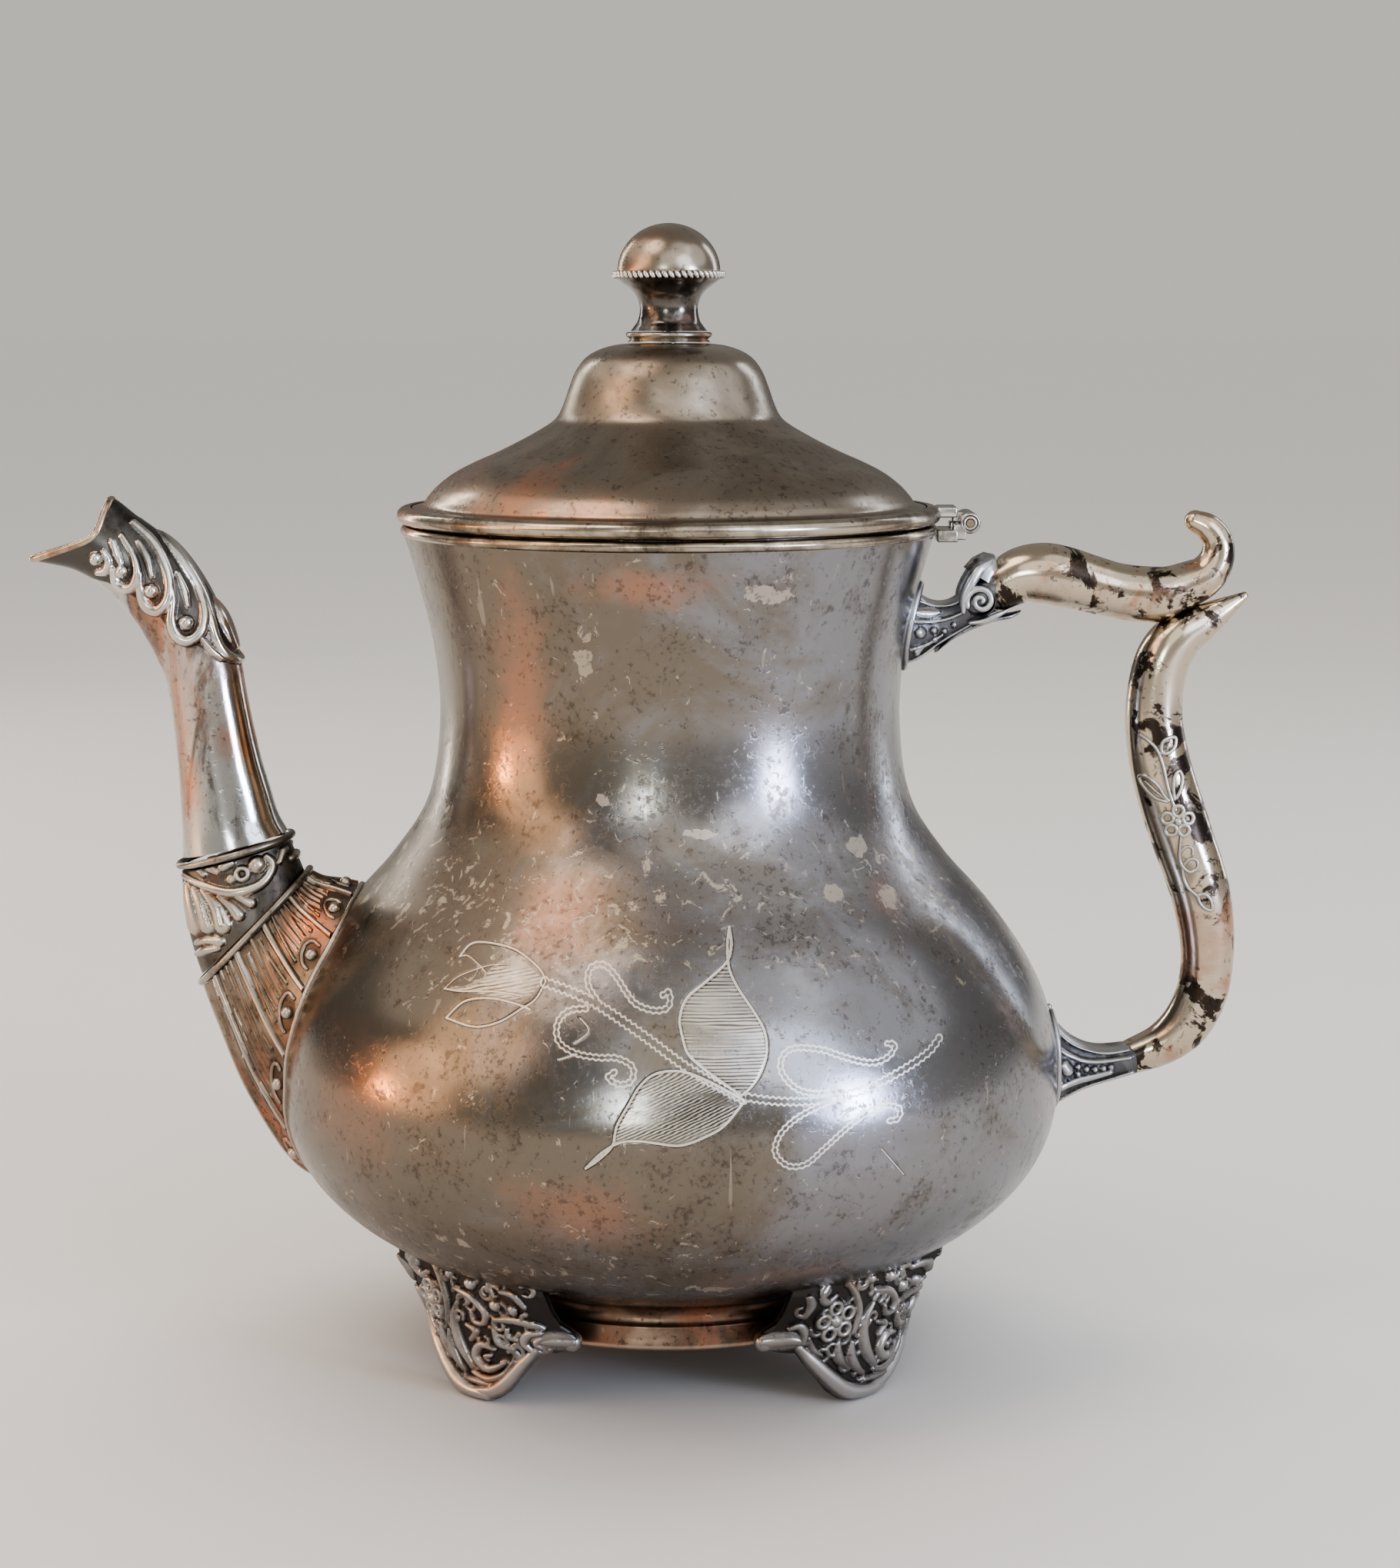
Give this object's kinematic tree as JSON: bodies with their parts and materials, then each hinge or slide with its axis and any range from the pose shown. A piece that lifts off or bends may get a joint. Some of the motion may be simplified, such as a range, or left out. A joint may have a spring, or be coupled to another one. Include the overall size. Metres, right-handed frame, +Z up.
{
  "type": "teapot",
  "caption": "Pear-shaped silver-plated teapot with hinged domed lid, curved spout, scroll handle and cast scroll feet.",
  "frame": {"origin": "on the surface the feet stand on, below the centre of the whole teapot's box; the pot's turning axis stands at x = 0.00585", "axes": "+X from the pot towards its handle, the spout points along -X; +Z up; the XZ plane is the plane of symmetry"},
  "size_m": [0.253, 0.164, 0.2364],
  "materials": {
    "tarnished_plate": "tarnished silver plate, mottled brown and copper, semi-gloss",
    "tarnished_lid": "tarnished silver plate, olive brown, semi-gloss",
    "bright_plate": "polished silver plate",
    "copper_tarnish": "plate worn to a copper tint, satin",
    "dark_casting": "cast white metal, dark in the recesses",
    "pewter_casting": "cast white metal, grey, satin",
    "worn_plate": "worn plate, cream with dark patches"
  },
  "bodies": {
    "pot": {"body_shell": "tarnished_plate", "neck_rim": "bright_plate", "foot_ring": "copper_tarnish", "strainer_plate": "bright_plate", "spout_skirt": "copper_tarnish", "spout_ring_lower": "dark_casting", "spout_collar": "dark_casting", "spout_ring_upper": "dark_casting", "spout_tube": "bright_plate", "spout_beak": "dark_casting", "handle_upper_bracket": "pewter_casting", "handle_upper_arm": "worn_plate", "handle_lower_arm": "worn_plate", "handle_lower_bracket": "pewter_casting", "handle_sprig_front": "worn_plate", "handle_sprig_back": "worn_plate", "foot_front_left": "pewter_casting", "foot_front_right": "pewter_casting", "foot_back_left": "pewter_casting", "foot_back_right": "pewter_casting", "hinge_body_leaf": "bright_plate", "hinge_pin": "bright_plate"},
    "lid": {"hinge_lid_leaf": "bright_plate", "lid_shell": "tarnished_lid", "lid_flange": "bright_plate", "lid_bezel": "bright_plate", "finial_collar": "dark_casting", "finial_stem": "dark_casting", "finial_rope_ring": "bright_plate", "finial_dome": "tarnished_lid", "finial_stud": "bright_plate", "finial_washer": "bright_plate", "finial_nut": "bright_plate"}
  },
  "joints": [
    {"name": "lid_hinge", "type": "hinge", "parent": "pot", "child": "lid", "pos_m": [0.06785, 0, 0.1754], "axis": [0, 1, 0], "range_deg": [0, 105]}
  ]
}
